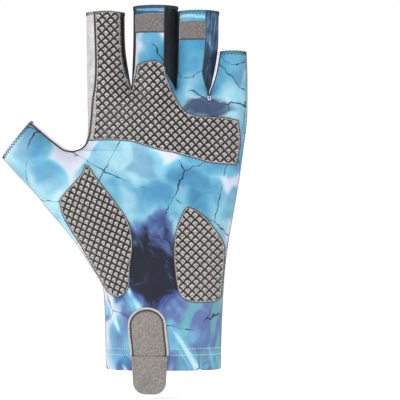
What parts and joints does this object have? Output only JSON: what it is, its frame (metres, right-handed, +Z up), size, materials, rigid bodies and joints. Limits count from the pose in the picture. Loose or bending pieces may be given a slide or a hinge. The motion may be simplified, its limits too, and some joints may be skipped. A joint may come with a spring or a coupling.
{
  "type": "fishing glove",
  "caption": "Half-finger fishing glove for the left hand, printed stretch cloth with scaled grip patches, finger tabs and a suede wrist tab.",
  "frame": {"origin": "centre of the wrist opening, at the hem", "axes": "+Z up the hand from the hem to the fingertips, palm towards -Y, thumb towards -X"},
  "size_m": [0.1423, 0.0452, 0.2247],
  "materials": {
    "printed_cloth": "smooth stretch knit with a blue water print and a soft sheen",
    "back_cloth": "smooth stretch knit with a blue water print and a soft sheen",
    "fourchette_cloth": "dark stretch knit",
    "gusset_cloth": "pale grey stretch knit",
    "piping": "black corded seam tape",
    "grip_patch": "pale suede cloth with a net of raised black silicone scales",
    "suede": "grey napped suede"
  },
  "bodies": {
    "root": {"palm_panel": "printed_cloth", "back_panel": "back_cloth", "fourchette_index_middle": "fourchette_cloth", "fourchette_middle_ring": "fourchette_cloth", "fourchette_ring_little": "fourchette_cloth", "thumb_gusset": "gusset_cloth", "crotch_piping": "piping", "grip_patch_main": "grip_patch", "grip_patch_thenar": "grip_patch", "grip_patch_hypothenar": "grip_patch", "finger_tab_middle": "suede", "finger_tab_ring": "suede", "wrist_tab": "suede"}
  },
  "joints": []
}
